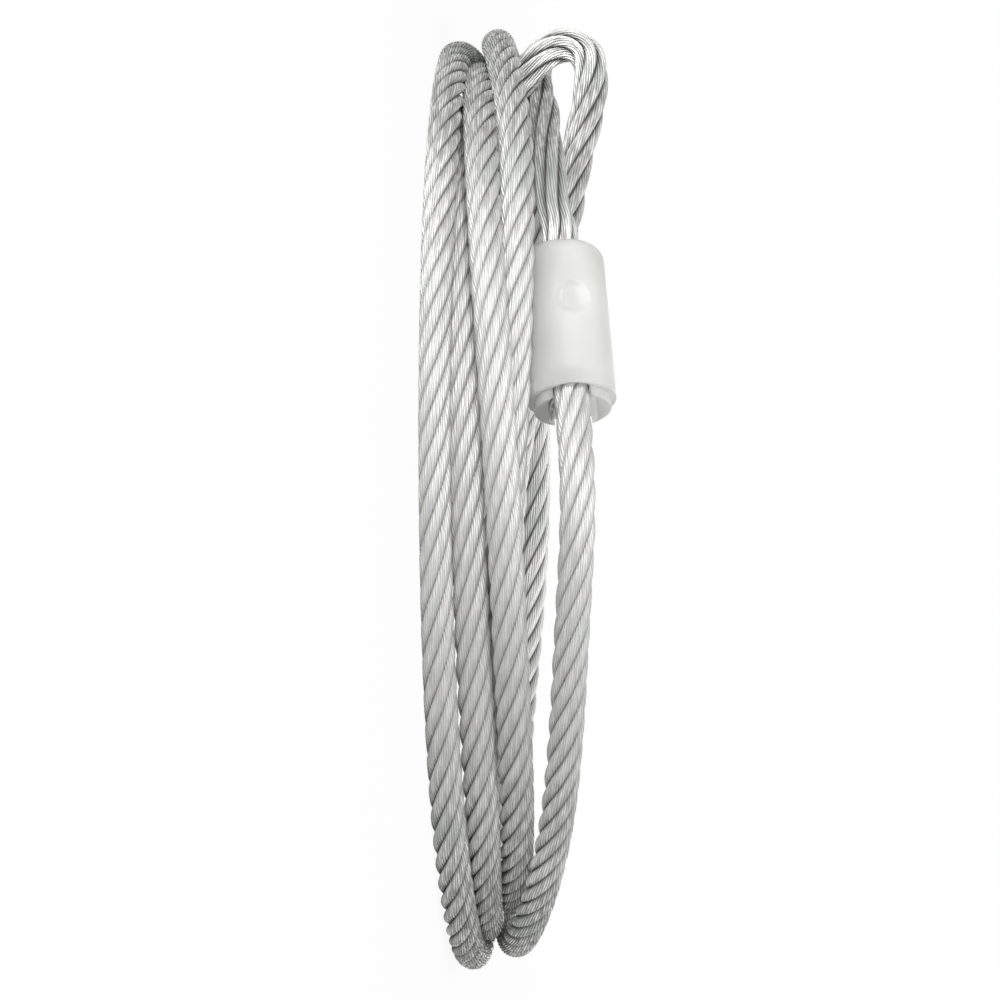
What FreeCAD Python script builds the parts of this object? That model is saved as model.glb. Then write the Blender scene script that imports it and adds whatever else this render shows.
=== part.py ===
"""Coiled steel security cable with a soft eye at each end.

One twisted wire rope, 5 mm thick and about 2.3 m long, lies coiled on a table. Each of its ends is turned
back into a small eye and held in a pressed oval ferrule under a moulded cover. The frame is the coil's own:
Z is the axis of the coil, the table is Z = 0, and X and Y are zero at the middle of the object's box.
"""

import FreeCAD
import Part
import Sketcher
import math
import os

from FreeCAD import Placement, Rotation, Vector

os.makedirs("parts", exist_ok=True)
doc = FreeCAD.newDocument("security_cable")

# Driving dimensions, in millimetres and degrees
SIZES = [
    ("rope_diameter", 5.0),
    ("rope_clearance", 0.05),
    ("leg_gap", 0.1),
    ("ferrule_wall", 0.45),
    ("ferrule_length", 18.0),
    ("ferrule_inset", 3.2),
    ("ferrule_edge", 0.2),
    ("cover_clearance", 0.05),
    ("cover_wall", 0.5),
    ("cover_flare", 0.25),
    ("cover_length", 23.8),
    ("cover_shoulder", 2.4),
    ("lip_step", 0.85),
    ("lip_length", 1.5),
    ("mouth_play", 1.0),
    ("mouth_sink", 3.9),
    ("dimple_radius", 8.4),
    ("dimple_sink", 0.3),
    ("dimple_place", 9.8),
    ("dimple_turn", 11.0),
    ("table_cut", 0.5),
]
sheet = doc.addObject("Spreadsheet::Sheet", "sizes")
for row, (alias, value) in enumerate(SIZES, start=1):
    sheet.set(f"A{row}", alias)
    sheet.set(f"B{row}", str(value))
    sheet.setAlias(f"B{row}", alias)
doc.recompute()


def size(alias):
    """The value of one driving dimension."""
    return float(sheet.get(alias))


ROPE = size("rope_diameter")
LEG_PITCH = ROPE + size("leg_gap")
# The layout below is drawn for a rope of this thickness and grows with it, its lowest rope still on the table
DRAWN_FOR = 5.0
DRAWN_LOWEST = 2.0
GROW = ROPE / DRAWN_FOR
LIFT = ROPE / 2 - size("table_cut") - DRAWN_LOWEST * GROW
# Moves the middle of the whole object's box over the origin
SEAT = Vector(2.3, 2.6, 0)

# Each cover: the middle of its eye end, the way its mouth looks, and the side of its dead leg
COVER_A = ((-35.8, -49.2, 19.4), (21.7, -9.6, 2.0), (0, 1, -0.06))
COVER_B = ((-7.2, -46.6, 6.8), (-1, 0, 0), (0, -1, 0))
DIMPLE_SIDE = {"cover_a": -1, "cover_b": 1}

# The eyes' free bends, from the live leg round to the dead leg
EYE_A = [
    (-41.7, -48.9, 18.4), (-46.6, -44.2, 17.6), (-51.5, -36.8, 16.6), (-55.7, -27.6, 15.8), (-60.0, -15.6, 14.4),
    (-63.3, -7.6, 13.1), (-66.2, -0.2, 12.6), (-66.8, 6.6, 12.2), (-64.4, 9.6, 11.4), (-60.6, 9.6, 10.4),
    (-58.0, 7.0, 9.6), (-57.7, 1.0, 8.8), (-57.7, -4.4, 8.3), (-58.0, -9.6, 8.1), (-58.9, -14.8, 8.2),
    (-60.7, -19.4, 9.6), (-64.6, -20.6, 12.9), (-67.5, -20.6, 16.0), (-68.1, -21.0, 19.6), (-66.5, -21.8, 22.2),
    (-63.0, -23.6, 22.9), (-58.2, -27.0, 22.5), (-53.5, -31.0, 21.6), (-48.3, -35.4, 20.6), (-43.6, -40.1, 20.0),
]
EYE_B = [
    (0.5, -43.2, 6.8), (7.5, -38.9, 6.8), (14.5, -36.8, 6.8), (20.6, -39.2, 6.8), (23.2, -45.2, 6.8),
    (20.6, -51.2, 6.8), (14.5, -53.4, 6.8), (7.5, -52.4, 6.8), (0.5, -50.0, 6.8),
]

# The coil's radius and height at each quarter turn, the first of them half a quarter after the near side
TURNS = [
    (67.1, 17.8), (65.7, 9.0), (70.0, 6.6), (74.7, 2.2),
    (69.5, 2.7), (68.3, 2.1), (63.3, 2.0), (63.5, 2.1),
    (63.8, 3.3), (60.7, 4.6), (64.0, 7.7), (68.9, 4.3),
    (59.3, 15.2), (55.8, 8.6), (64.5, 15.8), (77.9, 11.9),
    (61.7, 8.6), (52.0, 3.2), (50.9, 5.3),
]
BEFORE_TURNS = (65.5, 22.8)
AFTER_TURNS = (52.5, 2.0)
FIRST_TURN_ANGLE = -45.0
QUARTER = 90.0
TAIL = [(-51.3, -14.0, 2.0), (-46.5, -34.5, 3.2)]


def layout(point):
    """A point of the layout as it lies for this rope's thickness."""
    return Vector(*point) * GROW + Vector(0, 0, LIFT)


def mouth_direction(cover):
    """The unit vector out of the cover's mouth."""
    return Vector(*cover[1]).normalize()


def cover_frame(cover):
    """The cover's place: Z towards its mouth, Y towards its dead leg."""
    z = mouth_direction(cover)
    x = Vector(*cover[2]).cross(z).normalize()
    return Placement(layout(cover[0]), Rotation(x, z.cross(x), z, "ZXY"))


def leg_point(cover, side, along):
    """A point on the live leg (side -1) or the dead leg (side 1), that far from the cover's eye end."""
    return cover_frame(cover).multVec(Vector(0, side * LEG_PITCH / 2, along))


# Paths

def arc_through(start, corner, end):
    """The arc that leaves start towards corner and comes into end from it, at one distance from both."""
    middle = (start + end) / 2
    rise = corner - middle
    half = start.distanceToPoint(end) / 2
    side = start.distanceToPoint(corner)
    if rise.Length < 1e-6:
        return Part.LineSegment(start, end).toShape(), math.inf
    top = middle + rise * (half * (side - half) / rise.Length ** 2)
    return Part.Arc(start, top, end).toShape(), half * side / rise.Length


def biarc(start, start_way, end, end_way):
    """Two arcs that join two points along two given directions, and their radii."""
    chord = end - start
    ways = start_way + end_way
    bend = 2 * (1 - start_way.dot(end_way))
    if bend < 1e-9:
        reach = chord.dot(chord) / (2 * chord.dot(ways))
    else:
        reach = (math.sqrt(chord.dot(ways) ** 2 + bend * chord.dot(chord)) - chord.dot(ways)) / bend
    first = start + start_way * reach
    second = end - end_way * reach
    middle = (first + second) / 2
    one, one_radius = arc_through(start, first, middle)
    two, two_radius = arc_through(middle, second, end)
    return [one, two], [one_radius, two_radius]


def turn_stations():
    """A point and a direction for each quarter turn of the coil."""
    rows = [BEFORE_TURNS] + TURNS + [AFTER_TURNS]
    stations = []
    for k in range(1, len(rows) - 1):
        angle = math.radians(FIRST_TURN_ANGLE + QUARTER * (k - 1))
        out = Vector(math.cos(angle), math.sin(angle), 0)
        around = Vector(-math.sin(angle), math.cos(angle), 0)
        span = math.radians(QUARTER) * (2 if k > 1 else 1.5)
        widening = (rows[k + 1][0] - rows[k - 1][0]) / span
        climb = (rows[k + 1][1] - rows[k - 1][1]) / span
        radius, height = rows[k]
        way = out * widening + around * radius + Vector(0, 0, climb)
        stations.append((layout(out * radius + Vector(0, 0, height)), way.normalize()))
    return stations


def coil_path():
    """The coil's wire from the first cover's live leg, round its turns and along its tail to the second's."""
    begin = (leg_point(COVER_A, -1, size("cover_length")), mouth_direction(COVER_A))
    finish = (leg_point(COVER_B, -1, size("cover_length")), mouth_direction(COVER_B) * -1)
    stations = [begin] + turn_stations()
    tail = [layout(p) for p in TAIL]
    for point, after in zip(tail, tail[1:] + [finish[0]]):
        come = point - stations[-1][0]
        go = after - point
        way = come / come.Length ** 2 + go / go.Length ** 2
        stations.append((point, way.normalize()))
    stations.append(finish)
    edges, radii = [], []
    for (start, start_way), (end, end_way) in zip(stations, stations[1:]):
        pair, pair_radii = biarc(start, start_way, end, end_way)
        edges += pair
        radii += pair_radii
    return Part.Wire(edges), radii


def rounded_path(points):
    """Straight runs joined by tangent arcs, each as large as its two runs allow, and their radii."""
    edges, radii = [], []
    at = points[0]
    for before, corner, after in zip(points, points[1:], points[2:]):
        come = corner - before
        go = after - corner
        reach = 0.45 * min(come.Length, go.Length)
        start = corner - come / come.Length * reach
        end = corner + go / go.Length * reach
        edges.append(Part.LineSegment(at, start).toShape())
        arc, radius = arc_through(start, corner, end)
        edges.append(arc)
        radii.append(radius)
        at = end
    edges.append(Part.LineSegment(at, points[-1]).toShape())
    return Part.Wire(edges), radii


def eye_points(cover, bend):
    """The eye's points: in along the live leg, round the bend and back along the dead leg to its cut end."""
    lead = ROPE * 0.6
    live = [leg_point(cover, -1, size("cover_length")), leg_point(cover, -1, -lead)]
    dead = [leg_point(cover, 1, -lead), leg_point(cover, 1, size("cover_length") + size("lip_length"))]
    return live + [layout(p) for p in bend] + dead


def tube(wire):
    """The rope as a round solid along a wire."""
    first = wire.OrderedEdges[0]
    way = first.tangentAt(first.FirstParameter)
    ring = Part.Wire(Part.makeCircle(ROPE / 2, wire.OrderedVertexes[0].Point, way))
    return wire.makePipeShell([ring], True, False)


def add_tube(name, wire):
    """A document object that holds the rope along a wire, seated."""
    feature = doc.addObject("Part::Feature", name)
    feature.Shape = tube(wire)
    feature.Placement = Placement(SEAT, Rotation())
    feature.Label = name
    return feature


def least_gap(wire, skip):
    """The least free gap between parts of the rope that are further apart along it than skip."""
    step = ROPE / 4
    points = wire.discretize(Distance=step)
    apart = int(skip / step)
    cells = {}
    for i, p in enumerate(points):
        cells.setdefault((p.x // (2 * ROPE), p.y // (2 * ROPE)), []).append((i, p))
    least = math.inf
    for (cx, cy), here in cells.items():
        near = [q for a in (-1, 0, 1) for b in (-1, 0, 1) for q in cells.get((cx + a, cy + b), [])]
        for i, p in here:
            for j, q in near:
                if j - i > apart:
                    least = min(least, p.distanceToPoint(q))
    return least - ROPE


def report_path(name, wire, radii, shape):
    """Prints a path's length, tightest bends, gap to itself, and its tube's volume against section times length."""
    told = math.pi * ROPE ** 2 / 4 * wire.Length
    bends = [round(b, 1) for b in sorted(radii)[:3]]
    print(f"{name}: length {wire.Length:.1f}, least radii {bends}, least gap to itself {least_gap(wire, 4 * ROPE):.2f},",
          f"volume off by {100 * (shape.Volume / told - 1):.2f}%")


# The rope: its coil, flat where it lies on the table, and its two eyes

coil_wire, coil_radii = coil_path()
coil_tube = add_tube("coil_tube", coil_wire)
report_path("cable_coil", coil_wire, coil_radii, coil_tube.Shape)
table = doc.addObject("Part::Box", "table_block")
table.Length = 400
table.Width = 400
table.Height = 20
table.Placement = Placement(Vector(-200, -200, -20), Rotation())
coil = doc.addObject("Part::Cut", "cable_coil")
coil.Base = coil_tube
coil.Tool = table
coil.Label = "cable_coil"

for eye_name, eye_cover, eye_bend in (("eye_a", COVER_A, EYE_A), ("eye_b", COVER_B, EYE_B)):
    eye_wire, eye_radii = rounded_path(eye_points(eye_cover, eye_bend))
    eye = add_tube(eye_name, eye_wire)
    report_path(eye_name, eye_wire, eye_radii, eye.Shape)


# Sketches

def add_body(name, cover):
    """A body with its label, seated in a cover's frame."""
    body = doc.addObject("PartDesign::Body", name)
    body.Label = name
    body.Placement = Placement(SEAT, Rotation()) * cover_frame(cover)
    return body


def add_sketch(body, name, plane, height=None):
    """A sketch on one of the body's own planes, lifted along its normal by an expression."""
    sketch = body.newObject("Sketcher::SketchObject", name)
    sketch.AttachmentSupport = [(next(f for f in body.Origin.OriginFeatures if f.Role == plane), "")]
    sketch.MapMode = "FlatFace"
    if height is not None:
        sketch.setExpression("AttachmentOffset.Base.z", height)
    return sketch


def bound(sketch, constraint, expression):
    """A constraint of the sketch, bound to the sheet."""
    sketch.setExpression(f"Constraints[{sketch.addConstraint(constraint)}]", expression)


def oval(sketch, width, depth, width_value, depth_value):
    """A closed oval, its long way along the sketch's Y, bound to a width and a depth."""
    half = width_value / 2
    reach = depth_value / 2 - half
    up = Vector(0, 0, 1)
    right = sketch.addGeometry(Part.LineSegment(Vector(half, -reach, 0), Vector(half, reach, 0)))
    far = sketch.addGeometry(Part.ArcOfCircle(Part.Circle(Vector(0, reach, 0), up, half), 0, math.pi))
    left = sketch.addGeometry(Part.LineSegment(Vector(-half, reach, 0), Vector(-half, -reach, 0)))
    near = sketch.addGeometry(Part.ArcOfCircle(Part.Circle(Vector(0, -reach, 0), up, half), math.pi, 2 * math.pi))
    for constraint in (
        Sketcher.Constraint("Tangent", right, 2, far, 1),
        Sketcher.Constraint("Tangent", far, 2, left, 1),
        Sketcher.Constraint("Tangent", left, 2, near, 1),
        Sketcher.Constraint("Tangent", near, 2, right, 1),
        Sketcher.Constraint("Vertical", right),
        Sketcher.Constraint("PointOnObject", far, 3, -2),
        Sketcher.Constraint("Symmetric", far, 3, near, 3, -1, 1),
    ):
        sketch.addConstraint(constraint)
    bound(sketch, Sketcher.Constraint("Radius", far, half), f"({width}) / 2")
    bound(sketch, Sketcher.Constraint("DistanceY", near, 3, far, 3, 2 * reach), f"({depth}) - ({width})")


def add_pocket(body, name, width, depth, values, floor):
    """An oval pocket from a floor's height up through the mouth, bound to the sheet."""
    sketch = add_sketch(body, f"{name}_outline", "XY_Plane", floor)
    oval(sketch, width, depth, *values)
    pocket = body.newObject("PartDesign::Pocket", name)
    pocket.Profile = sketch
    pocket.Reversed = True
    pocket.setExpression("Length", "sizes.cover_length + sizes.lip_length + sizes.ferrule_inset")
    return pocket


# Sizes shared by the ferrules and covers, as expressions and as values

PITCH = "sizes.rope_diameter + sizes.leg_gap"
BORE = "sizes.rope_diameter + 2 * sizes.rope_clearance"
FERRULE = f"{BORE} + 2 * sizes.ferrule_wall"
CAVITY = f"{FERRULE} + 2 * sizes.cover_clearance"
MOUTH = "sizes.rope_diameter + 2 * sizes.mouth_play"
EYE_RADIUS = f"({CAVITY} + {PITCH}) / 2 + sizes.cover_wall"
MOUTH_RADIUS = f"{EYE_RADIUS} + sizes.cover_flare"
LIP_RADIUS = f"{MOUTH_RADIUS} - sizes.lip_step"
bore = ROPE + 2 * size("rope_clearance")
ferrule = bore + 2 * size("ferrule_wall")
cavity = ferrule + 2 * size("cover_clearance")
mouth = ROPE + 2 * size("mouth_play")
eye_radius = (cavity + LEG_PITCH) / 2 + size("cover_wall")
mouth_radius = eye_radius + size("cover_flare")
lip_radius = mouth_radius - size("lip_step")


def add_ferrule(name, cover):
    """The pressed oval sleeve round both legs, inside the cover."""
    body = add_body(name, cover)
    outline = add_sketch(body, f"{name}_outline", "XY_Plane", "sizes.ferrule_inset")
    oval(outline, FERRULE, f"{FERRULE} + {PITCH}", ferrule, ferrule + LEG_PITCH)
    sleeve = body.newObject("PartDesign::Pad", f"{name}_sleeve")
    sleeve.Profile = outline
    sleeve.setExpression("Length", "sizes.ferrule_length")
    doc.recompute()
    ends = [n for n, e in enumerate(sleeve.Shape.Edges, start=1) if abs(e.tangentAt(e.FirstParameter).z) < 1e-6]
    rounding = body.newObject("PartDesign::Fillet", f"{name}_rounding")
    rounding.Base = (sleeve, [f"Edge{n}" for n in ends])
    rounding.setExpression("Radius", "sizes.ferrule_edge")
    add_pocket(body, f"{name}_passage", BORE, f"{BORE} + {PITCH}", (bore, bore + LEG_PITCH), None)


def cover_outline(body, name):
    """The turned half outline: shoulder at the eye's end, gentle taper, step and lip at the mouth."""
    sketch = add_sketch(body, f"{name}_outline", "XZ_Plane")
    turn, body_end = size("cover_shoulder"), size("cover_length")
    tip = body_end + size("lip_length")
    flat = eye_radius - turn
    middle = Vector(flat, turn, 0)
    base = sketch.addGeometry(Part.LineSegment(Vector(0, 0, 0), Vector(flat, 0, 0)))
    shoulder = sketch.addGeometry(Part.ArcOfCircle(Part.Circle(middle, Vector(0, 0, 1), turn), -math.pi / 2, 0))
    corners = [(eye_radius, turn), (mouth_radius, body_end), (lip_radius, body_end), (lip_radius, tip), (0, tip), (0, 0)]
    lines = []
    for (x0, z0), (x1, z1) in zip(corners, corners[1:]):
        lines.append(sketch.addGeometry(Part.LineSegment(Vector(x0, z0, 0), Vector(x1, z1, 0))))
    wall, step, lip, top, axis = lines
    chain = [base, shoulder, wall, step, lip, top, axis]
    for one, two in zip(chain, chain[1:] + chain[:1]):
        sketch.addConstraint(Sketcher.Constraint("Coincident", one, 2, two, 1))
    sketch.addConstraint(Sketcher.Constraint("Coincident", base, 1, -1, 1))
    for line in (base, step, top):
        sketch.addConstraint(Sketcher.Constraint("Horizontal", line))
    for line in (lip, axis):
        sketch.addConstraint(Sketcher.Constraint("Vertical", line))
    flat_told = f"{EYE_RADIUS} - sizes.cover_shoulder"
    bound(sketch, Sketcher.Constraint("DistanceX", -1, 1, base, 2, flat), flat_told)
    bound(sketch, Sketcher.Constraint("DistanceX", -1, 1, shoulder, 3, flat), flat_told)
    bound(sketch, Sketcher.Constraint("DistanceY", -1, 1, shoulder, 3, turn), "sizes.cover_shoulder")
    bound(sketch, Sketcher.Constraint("DistanceY", -1, 1, shoulder, 2, turn), "sizes.cover_shoulder")
    bound(sketch, Sketcher.Constraint("DistanceX", -1, 1, wall, 2, mouth_radius), MOUTH_RADIUS)
    bound(sketch, Sketcher.Constraint("DistanceY", -1, 1, wall, 2, body_end), "sizes.cover_length")
    bound(sketch, Sketcher.Constraint("DistanceX", -1, 1, lip, 2, lip_radius), LIP_RADIUS)
    bound(sketch, Sketcher.Constraint("DistanceY", -1, 1, lip, 2, tip), "sizes.cover_length + sizes.lip_length")
    return sketch


def add_cover(name, cover):
    """The moulded cover: a turned shell, the legs' hole, the ferrule's cavity, the mouth and a shallow dimple."""
    body = add_body(name, cover)
    shell = body.newObject("PartDesign::Revolution", f"{name}_shell")
    shell.Profile = cover_outline(body, name)
    shell.ReferenceAxis = (shell.Profile[0], ["V_Axis"])
    shell.Angle = 360
    add_pocket(body, f"{name}_legs_hole", BORE, f"{BORE} + {PITCH}", (bore, bore + LEG_PITCH), None)
    add_pocket(body, f"{name}_cavity", CAVITY, f"{CAVITY} + {PITCH}", (cavity, cavity + LEG_PITCH),
               "sizes.ferrule_inset")
    add_pocket(body, f"{name}_mouth", MOUTH, f"{MOUTH} + {PITCH}", (mouth, mouth + LEG_PITCH),
               "sizes.cover_length + sizes.lip_length - sizes.mouth_sink")
    dimple = body.newObject("PartDesign::SubtractiveSphere", f"{name}_dimple")
    dimple.AttachmentSupport = [(next(f for f in body.Origin.OriginFeatures if f.Role == "XY_Plane"), "")]
    dimple.MapMode = "FlatFace"
    dimple.Angle1 = -90
    dimple.Angle2 = 90
    dimple.Angle3 = 360
    dimple.setExpression("Radius", "sizes.dimple_radius")
    out = f"({EYE_RADIUS} + 0.3 * sizes.cover_flare + sizes.dimple_radius - sizes.dimple_sink)"
    dimple.setExpression("AttachmentOffset.Base.x", f"{DIMPLE_SIDE[name]} * {out} * sin(sizes.dimple_turn)")
    dimple.setExpression("AttachmentOffset.Base.y", f"-1 * {out} * cos(sizes.dimple_turn)")
    dimple.setExpression("AttachmentOffset.Base.z", "sizes.dimple_place")


for letter, cover in (("a", COVER_A), ("b", COVER_B)):
    add_ferrule(f"ferrule_{letter}", cover)
    add_cover(f"cover_{letter}", cover)
doc.recompute()


# Check and export

NODES = ["cable_coil", "eye_a", "ferrule_a", "cover_a", "eye_b", "ferrule_b", "cover_b"]
for feature in doc.Objects:
    if "Invalid" in feature.State or "Error" in feature.State:
        raise RuntimeError(f"{feature.Name} did not compute")
whole = None
for node in NODES:
    shape = doc.getObject(node).Shape
    if shape.isNull() or not shape.isValid():
        raise RuntimeError(f"{node} has no valid shape")
    box = FreeCAD.BoundBox()
    for point in shape.tessellate(0.05)[0]:
        box.add(point)
    whole = box if whole is None else whole.united(box)
    print(f"{node}: volume {shape.Volume:.1f}, {len(shape.Solids)} solid, X {box.XMin:.2f} to {box.XMax:.2f},",
          f"Y {box.YMin:.2f} to {box.YMax:.2f}, Z {box.ZMin:.2f} to {box.ZMax:.2f}")
    shape.exportStep(f"parts/{node}.step")
print(f"whole box: middle {whole.Center.x:.2f} {whole.Center.y:.2f}, bottom {whole.ZMin:.2f}, size",
      f"{whole.XLength:.1f} {whole.YLength:.1f} {whole.ZLength:.1f}")
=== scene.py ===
"""Coiled steel security cable with a soft eye at each end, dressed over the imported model's frame."""
import bpy
import math
import numpy as np
from mathutils import Matrix, Vector


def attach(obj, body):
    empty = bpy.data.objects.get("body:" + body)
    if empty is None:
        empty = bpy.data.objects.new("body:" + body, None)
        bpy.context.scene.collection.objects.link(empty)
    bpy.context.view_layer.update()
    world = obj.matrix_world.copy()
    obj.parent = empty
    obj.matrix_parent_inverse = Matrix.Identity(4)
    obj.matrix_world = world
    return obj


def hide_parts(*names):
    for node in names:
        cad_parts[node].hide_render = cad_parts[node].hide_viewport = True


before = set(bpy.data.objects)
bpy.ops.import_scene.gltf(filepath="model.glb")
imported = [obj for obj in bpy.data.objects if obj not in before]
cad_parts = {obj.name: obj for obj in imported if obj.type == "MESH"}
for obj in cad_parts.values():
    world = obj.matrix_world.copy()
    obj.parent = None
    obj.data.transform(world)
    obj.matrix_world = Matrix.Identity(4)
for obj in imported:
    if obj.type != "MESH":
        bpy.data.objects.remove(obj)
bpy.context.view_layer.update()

MM = 0.001

# The rope, in millimetres: six strands round a core, laid to the right, each with twelve outer wires
ROPE = 5.0
LAY = 30.0
STRANDS = 6
STRAND_RADIUS = 0.88
STRAND_RING = 1.69
WIRES = 12
WIRE_LAY = 9.6
WIRE_RADIUS = 0.19
WIRE_DEPTH = 0.13
POINTS_A_WIRE = 3
CORE_RADIUS = ROPE / 2 - 2 * STRAND_RADIUS + 0.1
CORE_POINTS = 10
RING_STEP = 0.87
RINGS_A_CORE_RING = 3

# How far the lay is opened in the first eye: places along the rope, and the share by which each length grows
OPENING = ((26, 0.0), (38, 0.7), (75, 0.7), (110, 3.0), (178, 3.0), (190, 0.0))

# Moves the middle of the object's box over the origin
SEAT = Vector((2.3, 2.6, 0))

# Each cover: the middle of its eye end, the way its mouth looks, and the side of its dead leg
COVER_A = ((-35.8, -49.2, 19.4), (21.7, -9.6, 2.0), (0, 1, -0.06))
COVER_B = ((-7.2, -46.6, 6.8), (-1, 0, 0), (0, -1, 0))
COVER_LENGTH = 23.8

# The middle of the first cover's dimple, in metres, as seated
DIMPLE_A = (-0.0268, -0.0559, 0.0215)

# How far apart the two legs in a cover lie, and how far from its eye end the dead leg is cut
LEG_PITCH = 5.1
TIP = 25.3

# The wires that spread at a dead leg's cut end: their root along the cover, their reach there, their turns in degrees
CUT_WIRES = 13
CUT_SIDES = 6
CUT_STATIONS = (0, 0.4, 0.75, 1)
CUT_ROOT = 16
CUT_REACH = 2.0
CUT_FIRST_TURN = -52
CUT_TURN_STEP = 9

# The eyes' free bends, from the live leg round to the dead leg
EYE_A = [
    (-41.7, -48.9, 18.4), (-46.6, -44.2, 17.6), (-51.5, -36.8, 16.6), (-55.7, -27.6, 15.9), (-60.0, -15.6, 14.7),
    (-63.3, -7.6, 13.4), (-66.2, -0.2, 13.1), (-66.8, 6.6, 12.9), (-64.4, 9.6, 12.2), (-60.6, 9.6, 11.0),
    (-58.0, 7.0, 10.0), (-57.7, 1.0, 9.2), (-57.7, -4.4, 8.7), (-58.0, -9.6, 8.5), (-58.9, -14.8, 8.7),
    (-60.6, -19.6, 10.0), (-64.4, -20.9, 13.4), (-67.4, -20.7, 16.3), (-68.1, -21.0, 19.6), (-66.5, -21.8, 22.2),
    (-63.0, -23.6, 22.9), (-58.2, -27.0, 22.5), (-53.5, -31.0, 21.6), (-48.3, -35.4, 20.5), (-43.6, -40.1, 20.0),
]
EYE_B = [
    (0.5, -43.2, 6.8), (7.5, -38.9, 6.8), (14.5, -36.8, 6.8), (20.6, -39.2, 6.8), (23.2, -45.2, 6.8),
    (20.6, -51.2, 6.8), (14.5, -53.4, 6.8), (7.5, -52.4, 6.8), (0.5, -50.0, 6.8),
]

# The coil's radius and height at each eighth of a turn, the first on the near side, one turn a line
TURNS = [
    (69.3, 22.9), (64.9, 18.4), (67.5, 9.0), (65.1, 6.3), (64.2, 9.1), (67.6, 7.7), (67.2, 2.2), (70.0, 2.2),
    (66.2, 2.0), (65.9, 2.5), (69.4, 3.1), (67.1, 2.0), (66.0, 2.2), (60.3, 2.0), (57.8, 2.4), (64.5, 4.6),
    (64.5, 6.6), (64.3, 7.3), (64.6, 5.0), (60.7, 2.3), (60.0, 2.4), (59.1, 7.0), (63.1, 5.1), (69.6, 8.0),
    (69.0, 12.1), (63.0, 12.4), (60.4, 8.6), (56.5, 6.5), (53.9, 5.4), (61.5, 12.7), (69.1, 7.3), (68.7, 13.2),
    (62.0, 12.3), (58.3, 6.9), (56.0, 5.9), (52.0, 3.1), (49.2, 2.1), (51.7, 2.0), (51.5, 2.0),
]
STATIONS = 8
TURN_POINTS = 24
TAIL = [(-51.9, -12.3, 2.1), (-50.4, -23.8, 2.3), (-46.8, -34.4, 3.1), (-40.9, -41.7, 4.4), (-35.9, -44.3, 6.3)]


# Route

def cover_axes(cover):
    """A cover's own X, Y and Z: Z out of its mouth, Y towards its dead leg."""
    z = Vector(cover[1]).normalized()
    x = Vector(cover[2]).cross(z).normalized()
    return x, z.cross(x), z


def leg_point(cover, side, along):
    """A point on a cover's live leg (side -1) or dead leg (side 1), that far from its eye end."""
    x, y, z = cover_axes(cover)
    return Vector(cover[0]) + y * (side * LEG_PITCH / 2) + z * along


def turn_points():
    """The coil's control points, on a smooth radius and height through the table above."""
    rows = np.array(TURNS)
    slopes = np.gradient(rows, axis=0)
    share = np.arange((len(rows) - 1) * TURN_POINTS // STATIONS + 1) / (TURN_POINTS / STATIONS)
    k = np.minimum(share.astype(int), len(rows) - 2)
    t = (share - k)[:, None]
    smooth = ((2 * t**3 - 3 * t**2 + 1) * rows[k] + (t**3 - 2 * t**2 + t) * slopes[k]
              + (3 * t**2 - 2 * t**3) * rows[k + 1] + (t**3 - t**2) * slopes[k + 1])
    points = []
    for turn, (radius, height) in zip(share / STATIONS, smooth):
        angle = 2 * math.pi * (turn - 0.25)
        out = radius / math.cos(math.pi / TURN_POINTS)
        points.append(Vector((out * math.cos(angle), out * math.sin(angle), height)))
    return points


def rope_points():
    """The whole rope, from the dead end in cover A round its eye, the coil and the second eye to the other."""
    points = [leg_point(COVER_A, 1, a) for a in (TIP, 12, 0, -3)]
    points += [Vector(p) for p in reversed(EYE_A)]
    points += [leg_point(COVER_A, -1, a) for a in (-3, 0, 12, COVER_LENGTH)]
    points += turn_points()
    points += [Vector(p) for p in TAIL]
    points += [leg_point(COVER_B, -1, a) for a in (COVER_LENGTH, 12, 0, -3)]
    points += [Vector(p) for p in EYE_B]
    points += [leg_point(COVER_B, 1, a) for a in (-3, 0, 12, TIP)]
    return [(p + SEAT) * MM for p in points]


def smooth_line(name, points):
    """A smooth NURBS spline with these control points, read back as points along it."""
    curve = bpy.data.curves.new(name, "CURVE")
    curve.dimensions = "3D"
    curve.resolution_u = 12
    spline = curve.splines.new("NURBS")
    spline.points.add(len(points) - 1)
    for point, place in zip(spline.points, points):
        point.co = (*place, 1)
    spline.order_u = 3
    spline.use_endpoint_u = True
    holder = bpy.data.objects.new(name, curve)
    bpy.context.scene.collection.objects.link(holder)
    mesh = bpy.data.meshes.new_from_object(holder)
    line = np.array([v.co[:] for v in mesh.vertices])
    bpy.data.objects.remove(holder)
    bpy.data.curves.remove(curve)
    bpy.data.meshes.remove(mesh)
    return line


def even_line(line, step):
    """The line's points at an even step, and how far along it each one lies."""
    runs = np.linalg.norm(np.diff(line, axis=0), axis=1)
    along = np.concatenate([[0], np.cumsum(runs)])
    places = np.linspace(0, along[-1], int(along[-1] / step) + 1)
    return np.column_stack([np.interp(places, along, line[:, i]) for i in range(3)]), places


def unit(rows):
    """Each row at length one."""
    return rows / np.linalg.norm(rows, axis=1)[:, None]


def carried_frames(line):
    """Two sides of the line that are carried along it without any twist."""
    tangents = unit(np.gradient(line, axis=0))
    side = np.cross(tangents[0], (0, 0, 1))
    sides = [side / np.linalg.norm(side)]
    for tangent in tangents[1:]:
        side = sides[-1] - tangent * np.dot(sides[-1], tangent)
        sides.append(side / np.linalg.norm(side))
    sides = np.array(sides)
    return sides, np.cross(tangents, sides)


# Strands

def laid_lengths(along):
    """The length of rope that is laid up to each point: the lay opens in the first eye, which is bent hard."""
    places, opened = zip(*OPENING)
    rate = 1 / (1 + np.interp(along / MM, places, opened))
    return np.concatenate([[0], np.cumsum((rate[1:] + rate[:-1]) / 2 * np.diff(along))])


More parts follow.
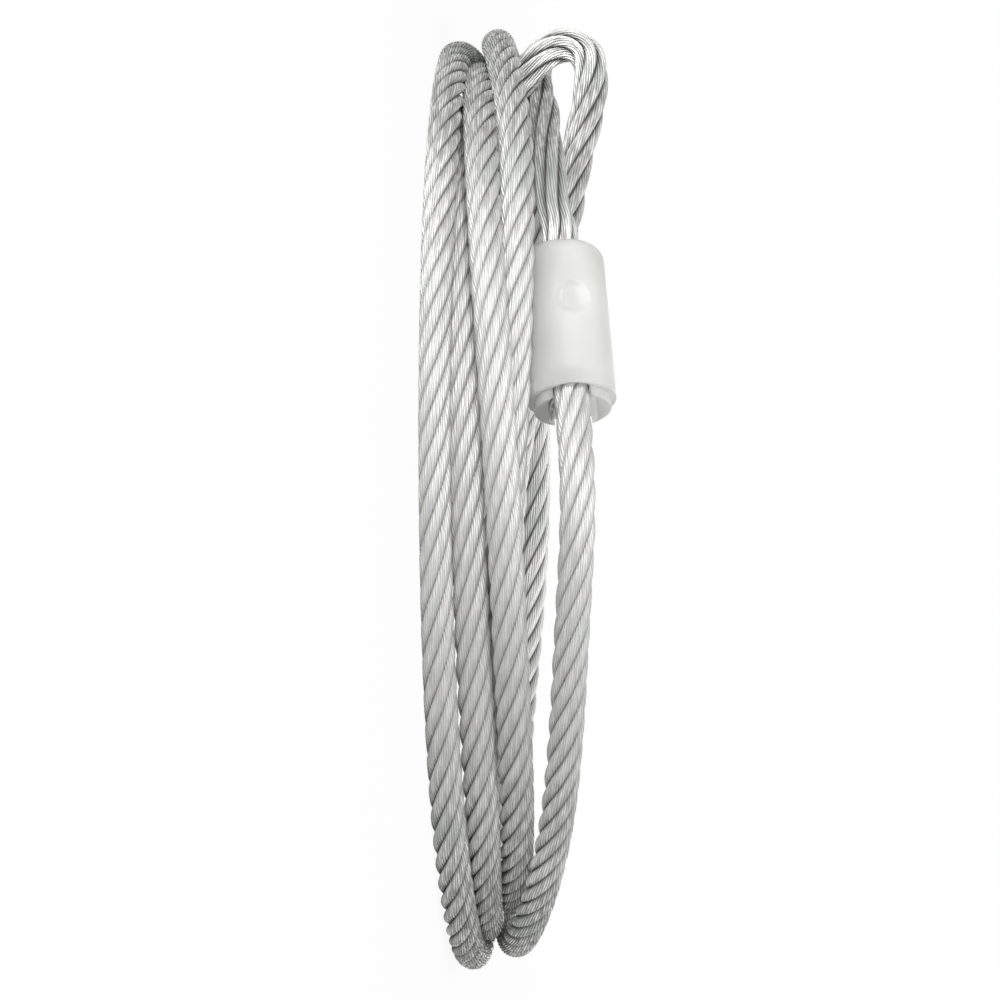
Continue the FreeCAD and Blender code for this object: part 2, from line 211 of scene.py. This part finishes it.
def strand_rings(line, laid, frames, phase):
    """The strand's section at each point of the rope's line: wires as flutes, turning against the lay."""
    first, second = frames
    turn = 2 * math.pi * laid / (LAY * MM) + phase
    out = np.cos(turn)[:, None] * first + np.sin(turn)[:, None] * second
    middle = line + out * STRAND_RING * MM
    way = unit(np.gradient(middle, axis=0))
    out = unit(out - way * np.sum(out * way, axis=1)[:, None])
    across = np.cross(way, out)
    spin = -2 * math.pi * laid / (WIRE_LAY * MM)
    corner = np.arange(POINTS_A_WIRE * WIRES)
    angles = 2 * math.pi * corner / len(corner)
    reach = np.where(corner % POINTS_A_WIRE > 0, STRAND_RADIUS, STRAND_RADIUS - WIRE_DEPTH) * MM
    place = spin[:, None] + angles[None]
    return (middle[:, None] + reach[None, :, None]
            * (np.cos(place)[..., None] * out[:, None] + np.sin(place)[..., None] * across[:, None]))


def core_rings(line, frames):
    """The plain core that the strands lie round."""
    first, second = frames
    angles = 2 * math.pi * np.arange(CORE_POINTS) / CORE_POINTS
    return line[:, None] + CORE_RADIUS * MM * (np.cos(angles)[None, :, None] * first[:, None]
                                               + np.sin(angles)[None, :, None] * second[:, None])


def tube_piece(name, rings, along, line):
    """A closed tube through rings of points, with a map of its length and girth and its height over the line."""
    rows, count = rings.shape[:2]
    crown = np.linalg.norm(rings - line[:, None], axis=2).ravel() / (ROPE / 2 * MM)
    points = rings.reshape(-1, 3).copy()
    points[:, 2] = np.maximum(points[:, 2], 0)
    ends = [points[:count].mean(axis=0), points[-count:].mean(axis=0)]
    points = np.vstack([points, ends])
    i = np.arange(count)
    base = (np.arange(rows - 1) * count)[:, None]
    quads = np.stack([base + i, base + (i + 1) % count, base + count + (i + 1) % count, base + count + i], axis=-1)
    first, last = rows * count, rows * count + 1
    low = [(first, (k + 1) % count, k) for k in range(count)]
    high = [(last, (rows - 1) * count + k, (rows - 1) * count + (k + 1) % count) for k in range(count)]
    mesh = bpy.data.meshes.new(name)
    mesh.from_pydata(points.tolist(), [], quads.reshape(-1, 4).tolist() + low + high)
    u = np.stack([i / count, (i + 1) / count, (i + 1) / count, i / count], axis=-1)
    v0, v1 = along[:-1, None], along[1:, None]
    grid = np.zeros((rows - 1, count, 4, 2))
    grid[..., 0] = u[None]
    grid[..., :2, 1] = v0[..., None]
    grid[..., 2:, 1] = v1[..., None]
    flat = np.concatenate([grid.reshape(-1, 2), np.zeros((6 * count, 2))])
    mesh.uv_layers.new(name="lay").data.foreach_set("uv", flat.ravel())
    told = mesh.attributes.new("crown", "FLOAT", "POINT")
    told.data.foreach_set("value", np.concatenate([crown, [crown[:count].mean()] * 2]))
    smooth = np.ones(len(mesh.polygons), dtype=bool)
    smooth[-2 * count:] = False
    mesh.polygons.foreach_set("use_smooth", smooth)
    piece = bpy.data.objects.new(name, mesh)
    bpy.context.scene.collection.objects.link(piece)
    return piece


def cut_wires(name, cover):
    """The wires that spread at a dead leg's cut end, as one mesh."""
    x, y, z = cover_axes(cover)
    chance = np.random.default_rng(7)
    points, faces = [], []
    for n in range(CUT_WIRES):
        turn = math.radians(CUT_FIRST_TURN + CUT_TURN_STEP * n)
        spread = chance.uniform(1.0, 2.5)
        tip = chance.uniform(21.5, 25.0)
        base = len(points)
        for share in CUT_STATIONS:
            reach = CUT_REACH + spread * share * share
            place = leg_point(cover, 1, CUT_ROOT + (tip - CUT_ROOT) * share)
            place += x * (reach * math.cos(turn)) + y * (reach * math.sin(turn)) + SEAT
            for side in range(CUT_SIDES):
                angle = 2 * math.pi * side / CUT_SIDES
                points.append((place + (x * math.cos(angle) + y * math.sin(angle)) * WIRE_RADIUS) * MM)
        last = len(points) - CUT_SIDES
        for ring in range(base, last, CUT_SIDES):
            for side in range(CUT_SIDES):
                low, high = ring + side, ring + (side + 1) % CUT_SIDES
                faces.append((low, high, high + CUT_SIDES, low + CUT_SIDES))
        faces.append(tuple(base + side for side in reversed(range(CUT_SIDES))))
        faces.append(tuple(last + side for side in range(CUT_SIDES)))
    mesh = bpy.data.meshes.new(name)
    mesh.from_pydata([tuple(p) for p in points], [], faces)
    piece = bpy.data.objects.new(name, mesh)
    bpy.context.scene.collection.objects.link(piece)
    return piece


# Shader maths

class Signal:
    """A shader socket that takes part in Python expressions."""

    def __init__(self, sheet, socket):
        self.sheet = sheet
        self.socket = socket

    def maths(self, operation, *values):
        return self.sheet.node("ShaderNodeMath", {"operation": operation}, *values)

    def __add__(self, other):
        return self.maths("ADD", self, other)

    def __radd__(self, other):
        return self.maths("ADD", other, self)

    def __sub__(self, other):
        return self.maths("SUBTRACT", self, other)

    def __rsub__(self, other):
        return self.maths("SUBTRACT", other, self)

    def __mul__(self, other):
        return self.maths("MULTIPLY", self, other)

    def floor(self):
        return self.maths("FLOOR", self)

    def size(self):
        return self.maths("ABSOLUTE", self)

    def root(self):
        return self.maths("SQRT", self)

    def most(self, other):
        return self.maths("MAXIMUM", self, other)

    def between(self, low, high):
        """0 below low, 1 above high, smooth between."""
        smooth = {"interpolation_type": "SMOOTHSTEP"}
        return self.sheet.node("ShaderNodeMapRange", smooth, self, low, high, 0.0, 1.0)


class Sheet:
    """A material's nodes, made one call at a time."""

    def __init__(self, name):
        self.material = bpy.data.materials.new(name)
        self.material.use_nodes = True
        self.tree = self.material.node_tree
        self.shader = self.tree.nodes["Principled BSDF"]
        self.output = self.tree.nodes["Material Output"]

    def node(self, kind, settings, *values, **named):
        """One node of a kind, with its settings, then the values or links of its sockets; its first live output."""
        made = self.tree.nodes.new(kind)
        for key, value in settings.items():
            setattr(made, key, value)
        for socket, value in zip([s for s in made.inputs if s.enabled], values):
            self.give(socket, value)
        for key, value in named.items():
            self.give(next(s for s in made.inputs if s.enabled and s.name == key), value)
        return Signal(self, next(s for s in made.outputs if s.enabled))

    def read(self, kind, settings, output):
        """A node that only gives something out, by that output's name."""
        return Signal(self, self.node(kind, settings).socket.node.outputs[output])

    def parts(self, vector):
        """The first two parts of a vector."""
        split = self.node("ShaderNodeSeparateXYZ", {}, vector).socket.node
        return Signal(self, split.outputs[0]), Signal(self, split.outputs[1])

    def give(self, socket, value):
        if isinstance(value, Signal):
            self.tree.links.new(value.socket, socket)
        elif value is not None:
            socket.default_value = value

    def blend(self, share, one, two):
        """One colour where share is 0, the other where it is 1."""
        return self.node("ShaderNodeMix", {"data_type": "RGBA"}, share, one, two)

    def noise(self, place, scale, detail):
        return self.node("ShaderNodeTexNoise", {}, place, Scale=scale, Detail=detail, Roughness=0.5)

    def bump(self, height, strength, distance, normal=None):
        return self.node("ShaderNodeBump", {}, Strength=strength, Distance=distance, Height=height, Normal=normal)

    def finish(self, **values):
        """Sets or links sockets of the Principled shader."""
        for key, value in values.items():
            self.give(self.shader.inputs[key.replace("_", " ")], value)
        return self.material


def rope_steel():
    """Galvanised wire: round wires side by side, each its own grey, worn brighter on the crowns, with painted shade
    in the grooves between strands and in the seams between wires.

    Painted light: the middle of the coil, where the light is strongest, is soft and pale, its colour darker, with
    faint painted shade. Its two turning ends, its far side and the first eye are crisp, their colour paler, with deep
    painted shade, and the turning ends carry dark specks of painted shade.
    """
    s = Sheet("galvanised_rope_wire")
    girth, along = s.parts(s.node("ShaderNodeUVMap", {"uv_map": "lay"}))
    crown = s.read("ShaderNodeAttribute", {"attribute_name": "crown"}, "Fac")
    place = s.read("ShaderNodeTexCoord", {}, "Object")
    x, y = s.parts(place)
    out = (x - SEAT.x * MM).size()
    ends = out.between(0.058, 0.073)
    eye = 1.0 - along.between(0.185, 0.2)
    far = y.between(0.01, 0.05)
    # Painted light: a share near 1 at the coil's turning ends and partly on its far side and in the first eye, where
    # the colour is paler and the painted shade deeper; near 0 in the middle of the coil, where the colour is darker
    # and softer
    crisp = out.between(0.026, 0.07).most(far * 0.75).most(eye * 0.85)

    wires = girth * WIRES
    wire = wires.floor()
    across = (wires - wire) * 2.0 - 1.0
    tone = s.noise(s.node("ShaderNodeCombineXYZ", {}, wire * 7.13, along * 260.0, 0.0), 1.0, 2.0)
    drawn = s.noise(s.node("ShaderNodeCombineXYZ", {}, wires * 9.0, along * 420.0, 0.0), 1.0, 3.0)
    blotches = s.noise(place, 75.0, 3.0).between(0.5, 0.8)
    specks = s.noise(place, 1500.0, 1.0).between(0.5, 0.62)
    # The crowns are worn brighter and smoother; the low parts of each strand below them take painted shade
    crown_wear_and_groove_shade = crown.between(0.68, 0.97)
    # Where the seams between wires lie, for the painted shade there
    wire_seam_shade = across.size().between(0.5, 0.95)

    # The darker wire tone, made paler on the far side as painted light
    shade = s.blend(far, (0.54, 0.54, 0.53, 1), (0.82, 0.82, 0.81, 1))
    # The paler wire tone, as painted light: darker in the middle of the coil, full at the ends, the far side and the
    # eye
    bright = s.blend(crisp, (0.63, 0.63, 0.615, 1), (1.0, 1.0, 0.98, 1))
    grey = s.blend(tone.between(0.36, 0.64), shade, bright)
    zinc = s.blend(blotches, grey, (0.60, 0.635, 0.61, 1))
    # Painted shade in the grooves between strands: faint in the middle of the coil, near black where crisp
    groove_shade = s.blend(crisp, (0.48, 0.48, 0.47, 1), (0.06, 0.06, 0.06, 1))
    # Painted shade: the low parts of each strand take the groove colour, and the crowns keep the zinc grey
    dull = s.blend(crown_wear_and_groove_shade, groove_shade, zinc)
    # Painted shade: dark specks on the coil's two turning ends, at half strength, and none in the first eye
    speck_shade = s.blend(specks * ends * (0.5 - eye * 0.5), dull, (0.11, 0.11, 0.11, 1))
    # Painted shade in the seams between wires: light in the middle of the coil, deeper where crisp
    colour = s.blend(wire_seam_shade * (0.12 + crisp * 0.43), speck_shade, (0.10, 0.10, 0.10, 1))

    rough = 0.70 - crisp * 0.14 - crown_wear_and_groove_shade * 0.08 + drawn * 0.12
    lean = across * (0.34 + crisp * 0.5)
    upright = (1.0 - lean * lean).root()
    round_wire = s.node("ShaderNodeCombineXYZ", {}, lean * 0.5 + 0.5, 0.5, upright * 0.5 + 0.5)
    normal = s.node("ShaderNodeNormalMap", {"space": "TANGENT", "uv_map": "lay"}, 1.0, round_wire)
    return s.finish(Base_Color=colour, Metallic=0.85, Roughness=rough, Normal=s.bump(drawn, 0.3, 0.00003, normal))


def cut_steel():
    """The cut wires' bright steel, with duller patches."""
    s = Sheet("cut_wire_steel")
    dull = s.noise(s.read("ShaderNodeTexCoord", {}, "Object"), 900.0, 3.0)
    colour = s.blend(dull.between(0.35, 0.65), (0.62, 0.62, 0.61, 1), (0.95, 0.95, 0.93, 1))
    return s.finish(Base_Color=colour, Metallic=0.5, Roughness=0.38 + dull * 0.2, Normal=s.bump(dull, 0.3, 0.0001))


def cover_plastic():
    """Frosted clear plastic: soft and milky, with faint flow marks and the soft rim of the dimple."""
    s = Sheet("frosted_clear_plastic")
    place = s.read("ShaderNodeTexCoord", {}, "Object")
    reach = s.node("ShaderNodeVectorMath", {"operation": "DISTANCE"}, place, DIMPLE_A)
    pressed = s.bump(reach.between(0.0016, 0.0029), 1.0, 0.0005)
    frost = s.noise(place, 2600.0, 2.0)
    flow = s.noise(place, 90.0, 2.0)
    colour = s.blend(flow.between(0.3, 0.7), (0.70, 0.70, 0.685, 1), (0.79, 0.79, 0.775, 1))
    s.finish(IOR=1.46, Transmission_Weight=0.45, Specular_IOR_Level=0.4)
    s.finish(Subsurface_Weight=1.0, Subsurface_Radius=(1.0, 1.0, 1.0), Subsurface_Scale=0.003)
    s.finish(Base_Color=colour, Roughness=0.42 + frost * 0.16, Normal=s.bump(frost, 0.12, 0.00008, pressed))
    through = s.node("ShaderNodeBsdfTranslucent", {}, (0.95, 0.95, 0.93, 1))
    lit = s.node("ShaderNodeMixShader", {}, 0.2, Signal(s, s.shader.outputs[0]), through)
    s.give(s.output.inputs["Surface"], lit)
    return s.material


def ferrule_aluminium():
    """Pressed aluminium, pulled smooth by the die, with faint marks."""
    s = Sheet("pressed_aluminium")
    place = s.read("ShaderNodeTexCoord", {}, "Object")
    marks = s.noise(place, 700.0, 4.0)
    patches = s.noise(place, 120.0, 2.0)
    colour = s.blend(patches, (0.70, 0.70, 0.71, 1), (0.82, 0.82, 0.82, 1))
    return s.finish(Base_Color=colour, Metallic=1.0, Roughness=0.34 + marks * 0.16, Normal=s.bump(marks, 0.2, 0.0001))


# Rope

line = smooth_line("rope_line", rope_points())
even, along = even_line(line, RING_STEP * MM)
laid = laid_lengths(along)
frames = carried_frames(even)
steel = rope_steel()
strands = []
for n in range(STRANDS):
    rings = strand_rings(even, laid, frames, 2 * math.pi * n / STRANDS)
    strands.append(tube_piece(f"rope_strand_{n + 1}", rings, along, even))
core_line = even[::RINGS_A_CORE_RING]
core_along = along[::RINGS_A_CORE_RING]
core = tube_piece("rope_core", core_rings(core_line, carried_frames(core_line)), core_along, core_line)
for piece in strands + [core]:
    piece.data.materials.append(steel)
    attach(piece, "root")
    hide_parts("cable_coil", "eye_a", "eye_b")

cut = cut_steel()
for name, cover in (("rope_cut_wires_a", COVER_A), ("rope_cut_wires_b", COVER_B)):
    piece = cut_wires(name, cover)
    piece.data.materials.append(cut)
    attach(piece, "root")

plastic = cover_plastic()
aluminium = ferrule_aluminium()
for node, finish in (("cover_a", plastic), ("cover_b", plastic), ("ferrule_a", aluminium), ("ferrule_b", aluminium)):
    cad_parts[node].material_slots[0].material = finish


# Stage

def shown_white(tree, lit, white, strength):
    """A shader that gives way to a plain white one where the camera sees it, straight or through the covers."""
    light_path = tree.nodes.new("ShaderNodeLightPath")
    seen = tree.nodes.new("ShaderNodeMath")
    seen.operation = "MAXIMUM"
    share = tree.nodes.new("ShaderNodeMath")
    share.operation = "MULTIPLY"
    mix = tree.nodes.new("ShaderNodeMixShader")
    tree.links.new(light_path.outputs["Is Camera Ray"], seen.inputs[0])
    tree.links.new(light_path.outputs["Is Transmission Ray"], seen.inputs[1])
    tree.links.new(seen.outputs[0], share.inputs[0])
    if isinstance(strength, Signal):
        tree.links.new(strength.socket, share.inputs[1])
    else:
        share.inputs[1].default_value = strength
    tree.links.new(share.outputs[0], mix.inputs[0])
    tree.links.new(lit, mix.inputs[1])
    tree.links.new(white, mix.inputs[2])
    return mix.outputs[0]


def white_world():
    """Soft light from all round, on a white backdrop."""
    world = bpy.data.worlds.new("studio")
    world.use_nodes = True
    tree = world.node_tree
    soft = tree.nodes["Background"]
    soft.inputs["Color"].default_value = (1, 1, 1, 1)
    soft.inputs["Strength"].default_value = 0.25
    white = tree.nodes.new("ShaderNodeBackground")
    white.inputs["Color"].default_value = (1, 1, 1, 1)
    white.inputs["Strength"].default_value = 1.0
    shown = shown_white(tree, soft.outputs[0], white.outputs[0], 1.0)
    tree.links.new(shown, tree.nodes["World Output"].inputs["Surface"])
    bpy.context.scene.world = world


def white_floor():
    """The table: near white round the object, so that it keeps the object's shadow, and white further out."""
    bpy.ops.mesh.primitive_plane_add(size=6, location=(0, 0, 0))
    floor = bpy.context.object
    floor.name = "floor"
    s = Sheet("table_white")
    s.finish(Roughness=0.9, Specular_IOR_Level=0.1, Base_Color=(0.86, 0.86, 0.86, 1))
    glow = s.tree.nodes.new("ShaderNodeEmission")
    glow.inputs["Strength"].default_value = 1.0
    away = s.node("ShaderNodeVectorMath", {"operation": "LENGTH"}, s.read("ShaderNodeTexCoord", {}, "Object"))
    strength = 0.93 + away.between(0.1, 0.5) * 0.07
    shown = shown_white(s.tree, s.shader.outputs[0], glow.outputs[0], strength)
    s.tree.links.new(shown, s.output.inputs["Surface"])
    floor.data.materials.append(s.material)


def soft_light(name, place, aim_height, side, power):
    """A soft square lamp that looks at the middle of the object."""
    data = bpy.data.lights.new(name, "AREA")
    data.shape = "RECTANGLE"
    data.size = side
    data.size_y = side
    data.energy = power
    lamp = bpy.data.objects.new(name, data)
    lamp.location = place
    lamp.rotation_euler = (Vector((0, 0, aim_height)) - Vector(place)).to_track_quat("-Z", "Y").to_euler()
    bpy.context.scene.collection.objects.link(lamp)


def photo_camera():
    """A long lens level with the coil, turned a quarter, so that the coil stands upright in the picture."""
    aim = (SEAT + Vector((0, 0, 7.3))) * MM
    place = (SEAT + Vector((0, -878.55, 62.46))) * MM
    ahead = (aim - place).normalized()
    down = Vector((1, 0, 0))
    right = down.cross(ahead).normalized()
    roll = math.radians(0.326)
    across = right * math.cos(roll) + down * math.sin(roll)
    up = right * math.sin(roll) - down * math.cos(roll)
    data = bpy.data.cameras.new("camera")
    data.lens = 207.0
    data.clip_start = 0.05
    camera = bpy.data.objects.new("camera", data)
    bpy.context.scene.collection.objects.link(camera)
    turned = Matrix((across, up, -ahead)).transposed()
    camera.matrix_world = Matrix.Translation(place) @ turned.to_4x4()
    bpy.context.scene.camera = camera


bpy.ops.object.select_all(action="DESELECT")
white_world()
white_floor()
soft_light("front_softbox", (-0.43, -0.70, 0.07), 0.01, 0.3, 9.6)
soft_light("top_softbox", (0.0, -0.3, 0.8), 0.0, 0.7, 2.4)
soft_light("low_softbox", (0.6, -0.5, 0.25), 0.01, 0.4, 1.3)
soft_light("back_softbox", (0.1, 0.75, 0.5), 0.01, 0.5, 3.0)
photo_camera()
bpy.context.scene.view_settings.view_transform = "Standard"
